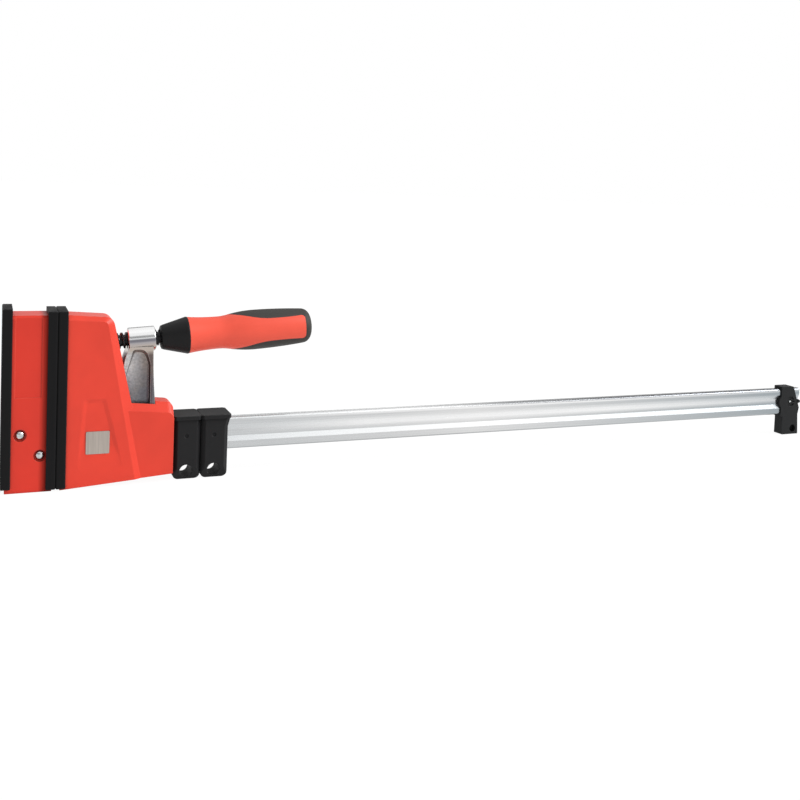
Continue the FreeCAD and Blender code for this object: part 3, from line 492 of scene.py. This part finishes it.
def forged_colour(tree, along, up):
    """The forged and plated skin of the arm."""
    paler = mixed(tree, beside(tree, along, 0.0, 1.0, -11, 2),
                  colour(232, 231, 232), colour(152, 143, 138))
    pocket = mixed(tree, below(tree, up, 0.0, 0.7, 22, 44), paler, colour(98, 102, 108))
    strip = sums(tree, "MULTIPLY", beside(tree, along, 0.0, 0.85, 4.2, 5.4),
                 beside(tree, along, 1.0, 0.0, 8.2, 9.6))
    striped = mixed(tree, strip, pocket, colour(92, 76, 78))
    tan_or_violet = spread(tree, noise(tree, films_to_the_metre, 2), 0.0, 1.0, 0.4, 0.6)
    films = mixed(tree, tan_or_violet, colour(156, 138, 124), colour(112, 110, 126))
    specks = spread(tree, noise(tree, specks_to_the_metre, 4), 0.4, 0.0)
    return mixed(tree, specks, mixed(tree, film_share, striped, films), colour(62, 64, 68))


print("forged_colour is ready")

# %% [markdown]
# ## The arm as a whole
#
# Boss and neck are one piece, so they share one material, and a share that grows below the boss
# leads from the machined finish to the forged one. The same share brings in the rough skin, which
# is pitted like orange peel.

# %% The arm's steel
machined_down_to, forged_from = 8.5, 12.5    # in mm below the middle of the screw
machined_roughness, forged_roughness = 0.16, 0.42
pits_to_the_metre, pit_depth = 700, 0.4 * mm


def forged_steel():
    made, tree, shader = start_material("forged zinc-plated steel", colour(176, 176, 178),
                                        0.38, 1.0)
    rounded, near_edge = soft_edges(tree, 0.8 * mm)
    along, up = own_place(tree)
    forged_part = below(tree, up, 0.0, 1.0, machined_down_to, forged_from)
    body_colour = mixed(tree, forged_part, boss_colour(tree, along, up),
                        forged_colour(tree, along, up))
    # Paler edges: partly rubbed wear, partly a painted highlight.
    edge_colour = mixed(tree, weakened(tree, near_edge, 0.55), body_colour,
                        colour(226, 224, 222))
    # Corners darkened as painted shade.
    shaded = mixed(tree, tucked_away(tree, 4 * mm, 0.8), edge_colour, colour(46, 34, 32))
    tree.links.new(shaded, shader.inputs["Base Color"])
    tree.links.new(spread(tree, forged_part, machined_roughness, forged_roughness, 0.0, 1.0),
                   shader.inputs["Roughness"])
    pits = sums(tree, "MULTIPLY", noise(tree, pits_to_the_metre, 4), forged_part)
    tree.links.new(bump(tree, pits, pit_depth, rounded), shader.inputs["Normal"])
    return made


finishes["forged_steel"] = forged_steel()
print("the arm's steel has", len(finishes["forged_steel"].node_tree.nodes), "nodes")

# %% [markdown]
# ## The other metals
#
# The screw is blackened and oiled, the rivets are polished, the small square plate is satin
# brushed, and the parts that nobody sees are plain or cast. They share one recipe for metal: a
# colour and a gloss that vary with a noise, which may be stretched into brush lines.

# %% The recipe for the other metals
def metal(name, dark, light, roughness, scale, depth, stretch=(1.0, 1.0, 1.0)):
    """A metal between two colours, with hollows of the given depth."""
    made, tree, shader = start_material(name, light, roughness, 1.0)
    rounded, near_edge = soft_edges(tree, 0.3 * mm)
    pattern = noise(tree, scale, 3, stretch)
    body_colour = mixed(tree, spread(tree, pattern, 0.0, 1.0), dark, light)
    # Paler edges: partly rubbed wear, partly a painted highlight.
    edge_colour = mixed(tree, weakened(tree, near_edge, 0.4), body_colour, colour(215, 215, 216))
    # Corners darkened as painted shade.
    shaded = mixed(tree, tucked_away(tree, 3 * mm, 0.8), edge_colour, colour(30, 28, 28))
    tree.links.new(shaded, shader.inputs["Base Color"])
    tree.links.new(spread(tree, pattern, roughness - 0.06, roughness + 0.06),
                   shader.inputs["Roughness"])
    tree.links.new(bump(tree, pattern, depth, rounded), shader.inputs["Normal"])
    return made


brushed_upright = (1.0, 1.0, 0.02)
finishes["black_steel"] = metal("blackened thread steel", colour(30, 30, 31),
                                colour(52, 52, 54), 0.34, 700, 0.02 * mm)
finishes["bright_steel"] = metal("polished rivet steel", colour(170, 176, 176),
                                 colour(214, 217, 217), 0.2, 260, 0.004 * mm)
finishes["badge_metal"] = metal("satin plate", colour(168, 159, 151),
                                colour(190, 180, 171), 0.42, 1600, 0.01 * mm, brushed_upright)
finishes["plain_steel"] = metal("plain steel", colour(150, 150, 153),
                                colour(180, 180, 183), 0.35, 500, 0.01 * mm)
finishes["cast_metal"] = metal("cast iron", colour(78, 78, 80),
                               colour(112, 112, 114), 0.62, 600, 0.15 * mm)
print(len(finishes), "finishes in all")

# %% [markdown]
# ## From loose triangles to smooth pieces
#
# A CAD piece arrives as loose triangles, and a round form made of them looks like a cut stone.
# Smaller triangles would help, but the outline is already round enough: only the light has to
# flow over it. The CAD piece itself is never changed, so a copy is made, its triangles are joined
# at their corners, the shading directions that it came with are cleared, and it is shaded smooth
# wherever two faces meet at less than 22 degrees. Large flat faces would take on a false curve
# from their small neighbours, so a Weighted Normal modifier lets the largest face at each corner
# decide. The copy then stands for the CAD piece.

# %% A smooth copy of a CAD piece
smooth_below = math.radians(22)


def only(piece):
    """Makes one piece the only one selected."""
    bpy.ops.object.select_all(action="DESELECT")
    piece.select_set(True)
    bpy.context.view_layer.objects.active = piece


def smooth_copy(node):
    """A joined and smoothly shaded copy that stands for a CAD piece."""
    piece = bpy.data.objects.new(node + "_smooth", nodes[node].data.copy())
    bpy.context.scene.collection.objects.link(piece)
    only(piece)
    bpy.ops.object.mode_set(mode="EDIT")
    bpy.ops.mesh.select_all(action="SELECT")
    bpy.ops.mesh.remove_doubles(threshold=0.002 * mm)
    bpy.ops.object.mode_set(mode="OBJECT")
    bpy.ops.mesh.customdata_custom_splitnormals_clear()
    bpy.ops.object.shade_smooth_by_angle(angle=smooth_below)
    piece.modifiers.new("flat faces stay flat", "WEIGHTED_NORMAL").keep_sharp = True
    bpy.ops.object.modifier_apply(modifier="flat faces stay flat")
    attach(piece, body_of[node])
    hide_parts(node)
    return piece


print("smooth wherever two faces meet below", round(math.degrees(smooth_below)), "degrees")

# %% [markdown]
# ## Rounded ends of the pads
#
# The three plastic pads clip over the jaws, and each is rounded at its foot and its head, where
# it would otherwise dig into the work. The CAD model leaves those edges sharp. A Bevel modifier
# would round every edge of the pad alike, while only the ends are so round that the outline shows
# it. So the triangles of its flat faces are first merged back into whole faces, and then only the
# edges that lie at its lowest and at its highest level are bevelled.

# %% Round a pad's ends
def round_ends(piece, radius):
    """Rounds the edges round a pad's foot and its head."""
    heights = [point.co.z for point in piece.data.vertices]
    only(piece)
    bpy.ops.object.mode_set(mode="EDIT")
    bpy.ops.mesh.select_all(action="SELECT")
    bpy.ops.mesh.dissolve_limited(angle_limit=math.radians(1))
    for end in (min(heights), max(heights)):
        bpy.ops.mesh.select_all(action="DESELECT")
        bpy.ops.object.mode_set(mode="OBJECT")
        points = piece.data.vertices
        for edge in piece.data.edges:
            edge.select = all(abs(points[i].co.z - end) < 0.05 * mm for i in edge.vertices)
        bpy.ops.object.mode_set(mode="EDIT")
        bpy.ops.mesh.bevel(offset=radius, segments=4, profile=0.5, clamp_overlap=True)
    bpy.ops.object.mode_set(mode="OBJECT")


end_radius = {"fixed_clamping_pad": 0.9 * mm, "moving_clamping_pad": 0.9 * mm,
              "spreading_pad": 1.2 * mm}
print("rounded ends for", ", ".join(end_radius))

# %% [markdown]
# ## Dress every piece but the screw
#
# Each piece gets the finish of its material slot. Only the fixed jaw has one of its own, for its
# red darkened as painted shade and the painted shadow in front of its pad. The screw waits,
# because it is built anew below.

# %% Copies with their finishes
for node in sorted(set(nodes) - {"spindle"}):
    piece = smooth_copy(node)
    if node in end_radius:
        round_ends(piece, end_radius[node])
    finish = "fixed_jaw" if node == "fixed_jaw_shell" else slot_of[node]
    piece.data.materials.clear()
    piece.data.materials.append(finishes[finish])
print("smooth copies of", len(nodes) - 1, "pieces")

# %% [markdown]
# ## The screw
#
# The clamp's screw has a coarse trapezoid thread of 4 mm lead. In the CAD model it is a plain
# shaft, so here it gets its thread. A thread could be cut out of a thick rod, as a die does, but
# a cut along such a spiral easily leaves ragged faces, so a ridge is laid round a thin core
# instead. The core is built along X as a lathe hand would turn it: from one disc, extruded and
# resized from step to step. Its nose, with a groove for the spring ring, comes first.

# %% Turn the shaft
def turned(name, stations, sides=48):
    """A closed turned piece along X, through (place, radius) stations."""
    first, radius = stations[0]
    bpy.ops.object.select_all(action="DESELECT")
    bpy.ops.mesh.primitive_circle_add(vertices=sides, radius=radius, fill_type="NGON",
                                      location=(first, 0, 0), rotation=(0, math.pi / 2, 0))
    piece = bpy.context.active_object
    piece.name = name
    bpy.ops.object.transform_apply(location=True, rotation=True, scale=True)
    bpy.ops.object.mode_set(mode="EDIT")
    bpy.ops.mesh.select_all(action="SELECT")
    for (before, old), (after, new) in zip(stations, stations[1:]):
        bpy.ops.mesh.extrude_region_move(TRANSFORM_OT_translate={"value": (after - before, 0, 0)})
        share = new / old
        bpy.ops.transform.resize(value=(1, share, share), center_override=(after, 0, 0))
    bpy.ops.mesh.select_all(action="SELECT")
    bpy.ops.mesh.normals_make_consistent(inside=False)
    bpy.ops.object.mode_set(mode="OBJECT")
    return piece


nose, shoulder, thread_end, stem_end = -57.4 * mm, -45.3 * mm, 16.0 * mm, 76.0 * mm
root, crest, lead = 4.9 * mm, 6.9 * mm, 4.0 * mm
groove_start, groove_end, groove_depth, nose_chamfer = 5.9 * mm, 7.5 * mm, 0.9 * mm, 1 * mm
shaft = turned("threaded_spindle", [
    (nose, root - nose_chamfer), (nose + nose_chamfer, root),
    (nose + groove_start, root), (nose + groove_start, root - groove_depth),
    (nose + groove_end, root - groove_depth), (nose + groove_end, root),
    (shoulder, root), (stem_end, root),
])
print("shaft with", len(shaft.data.polygons), "faces")

# %% [markdown]
# ## A section for the thread
#
# The ridge is one small section wound round the shaft. The section is a rectangle with its foot
# sunk a little into the shaft, so that no gap shows, and squeezed on its outer side to a
# trapezoid. Only its outline is wound, so its face is deleted.

# %% Draw a trapezoid section
def select_where(piece, test):
    """Selects the points of a piece in edit mode for which test is true."""
    bpy.ops.mesh.select_all(action="DESELECT")
    bpy.ops.object.mode_set(mode="OBJECT")
    for point in piece.data.vertices:
        point.select = test(point.co)
    bpy.ops.object.mode_set(mode="EDIT")


sunk, foot_width, crest_share = 0.3 * mm, 2.5 * mm, 0.52
section_height = crest - root + sunk
section_middle = (shoulder + 1.2 * mm, 0, root - sunk + section_height / 2)
bpy.ops.object.select_all(action="DESELECT")
bpy.ops.mesh.primitive_plane_add(size=1, location=section_middle, rotation=(math.pi / 2, 0, 0))
thread = bpy.context.active_object
thread.scale = (foot_width, section_height, 1)
bpy.ops.object.transform_apply(location=True, rotation=True, scale=True)
bpy.ops.object.mode_set(mode="EDIT")
select_where(thread, lambda co: co.z > section_middle[2])
bpy.ops.transform.resize(value=(crest_share, 1, 1), center_override=(section_middle[0], 0, crest))
bpy.ops.mesh.select_all(action="SELECT")
bpy.ops.mesh.delete(type="ONLY_FACE")
bpy.ops.object.mode_set(mode="OBJECT")
print("section in mm:", [tuple(round(v * 1000, 2) for v in p.co) for p in thread.data.vertices])

# %% [markdown]
# ## Wind the thread
#
# The section could be sent along a drawn spiral, but the Screw modifier does it from two numbers:
# the turns, and the lead that it moves along for each of them. The two ends of the ridge are open
# after that, so they are filled.

# %% Wind the section and close its ends
turns = int((thread_end - shoulder) / lead)
wind = thread.modifiers.new("wind", "SCREW")
wind.axis, wind.angle, wind.screw_offset = "X", 2 * math.pi, lead
wind.steps = wind.render_steps = 40
wind.iterations = turns
wind.use_merge_vertices = False
only(thread)
bpy.ops.object.modifier_apply(modifier="wind")
bpy.ops.object.mode_set(mode="EDIT")
bpy.ops.mesh.select_all(action="SELECT")
bpy.ops.mesh.fill_holes(sides=0)
bpy.ops.mesh.select_all(action="SELECT")
bpy.ops.mesh.normals_make_consistent(inside=False)
bpy.ops.object.mode_set(mode="OBJECT")
print("thread of", turns, "turns,", len(thread.data.polygons), "faces")

# %% [markdown]
# ## Put the screw in its place
#
# Thread and shaft become one piece. It is tilted as the real screw is, moved to the joint that it
# turns about, and stands for the CAD model's plain shaft.

# %% Join, tilt and dress the screw
only(shaft)
thread.select_set(True)
bpy.ops.object.join()
shaft.rotation_euler = (0, -tilt, 0)
shaft.location = spindle_middle
bpy.ops.object.transform_apply(location=True, rotation=True, scale=True)
bpy.ops.object.shade_smooth_by_angle(angle=math.radians(30))
shaft.data.materials.append(finishes["black_steel"])
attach(shaft, body_of["spindle"])
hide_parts("spindle")
print("screw with", len(shaft.data.polygons), "faces")

# %% [markdown]
# ## The floor
#
# The clamp stands on a wide white floor, as on a photographer's paper. Plain white paint would
# look grey and uneven in the picture. So to the camera and to mirrors the floor glows an even
# white, with only a trace of the clamp's shadow on it. For the light that falls on things it is
# matt paint, and brightens the clamp from below.

# %% A white floor
def seen_directly(tree):
    """1 for what the camera, a mirror or a glass sees, and 0 for light that falls on things."""
    ray = add(tree, "ShaderNodeLightPath")
    either = sums(tree, "MAXIMUM", ray.outputs["Is Camera Ray"], ray.outputs["Is Glossy Ray"])
    return sums(tree, "MAXIMUM", either, ray.outputs["Is Transmission Ray"])


floor_width, floor_gap = 60, 0.2 * mm
paint_white, glow_strength, glow_share = 0.82, 1.04, 0.92
bpy.ops.object.select_all(action="DESELECT")
bpy.ops.mesh.primitive_plane_add(size=floor_width, location=(0, 0, -floor_gap))
floor = bpy.context.active_object
floor.name = "studio_floor"
floor_paint = bpy.data.materials.new("white floor")
floor_paint.use_nodes = True
tree = floor_paint.node_tree
tree.nodes.clear()
matt = add(tree, "ShaderNodeBsdfDiffuse", {"Color": dimmed(white, paint_white)})
glow = add(tree, "ShaderNodeEmission", {"Color": white, "Strength": glow_strength})
both = add(tree, "ShaderNodeMixShader", {0: weakened(tree, seen_directly(tree), glow_share),
                                         1: matt.outputs["BSDF"], 2: glow.outputs["Emission"]})
add(tree, "ShaderNodeOutputMaterial", {"Surface": both.outputs["Shader"]})
floor.data.materials.append(floor_paint)
print("white floor,", floor_width, "m wide")

# %% [markdown]
# ## The sky
#
# The sky is white for the camera and for mirrors too, and dimmer as a source of light, so nothing
# on the clamp burns out. Steel in an all-white room has no shape, and lamps would show in it as
# hard spots. So a grey wall runs round the studio, high above the camera's view: round steel
# mirrors it as a dark band, which shows that it is round. The wall has a gap at the front right,
# where the slope of the rail's groove mirrors the white sky. It takes no light away.

# %% White sky with a grey wall
def height_of(degrees):
    """How far a direction reaches up when it rises by so many degrees."""
    return math.sin(math.radians(degrees))


sky_as_light, wall_grey = 0.68, (0.3, 0.3, 0.3, 1.0)
world = bpy.data.worlds.new("studio")
bpy.context.scene.world = world
world.use_nodes = True
tree = world.node_tree
seen = seen_directly(tree)
towards = add(tree, "ShaderNodeTexCoord")
parts = add(tree, "ShaderNodeSeparateXYZ", {"Vector": towards.outputs["Generated"]})
wall_foot = spread(tree, parts.outputs["Z"], 0.0, 1.0, height_of(15), height_of(20))
wall_top = spread(tree, parts.outputs["Z"], 1.0, 0.0, height_of(34), height_of(44))
left_of_gap = spread(tree, parts.outputs["X"], 1.0, 0.0, 0.15, 0.19)
behind_gap = spread(tree, parts.outputs["Y"], 0.0, 1.0, 0.0, 0.2)
wall = sums(tree, "MULTIPLY", sums(tree, "MULTIPLY", wall_foot, wall_top),
            sums(tree, "MAXIMUM", left_of_gap, behind_gap))
sky = mixed(tree, sums(tree, "MULTIPLY", wall, seen), white, wall_grey)
background = tree.nodes["Background"]
tree.links.new(sky, background.inputs["Color"])
tree.links.new(spread(tree, seen, sky_as_light, 1.0, 0.0, 1.0), background.inputs["Strength"])
print("white sky, which lights the clamp at", sky_as_light)

# %% [markdown]
# ## One sun
#
# A lamp close by would light the jaws and leave the far end of the rail dark. A sun lights all of
# it alike. This one is large and soft, and grazes the near faces from the right, so each step and
# edge throws a small shadow to the left, and the tops are bright.

# %% A soft sun
bpy.ops.object.light_add(type="SUN", location=(2, -1, 2))
sun = bpy.context.active_object
sun.name = "soft_sun"
graze, height = math.radians(24), math.radians(35)
to_sun = Vector((math.cos(graze) * math.cos(height), -math.sin(graze) * math.cos(height),
                 math.sin(height)))
sun.rotation_euler = to_sun.to_track_quat("Z", "Y").to_euler()
sun.data.energy = 2.75
sun.data.angle = math.radians(25)
print("sun towards", [round(v, 2) for v in to_sun])

# %% [markdown]
# ## The camera
#
# The camera stands in front and a little above, turned towards the far end of the rail. It could
# be placed by eye, but a fit is surer: its place, turn and lens are those with which the clamp's
# known edges fall on the same edges in the photograph. The lens is shifted a little, so that the
# clamp lies in the middle of the picture's height.

# %% Camera and colour
bpy.ops.object.camera_add(location=(-0.4333042, -0.8788857, 0.2602646))
camera = bpy.context.active_object
camera.rotation_euler = [math.radians(a) for a in (86.74653, -2.23971, -22.17361)]
camera.data.sensor_width = 36
camera.data.lens = 45.4303
camera.data.shift_x, camera.data.shift_y = 0.0, -0.19375
camera.data.clip_start, camera.data.clip_end = 0.02, 100
bpy.context.scene.camera = camera
bpy.context.scene.view_settings.view_transform = "Standard"
print("camera at", [round(v, 3) for v in camera.location])
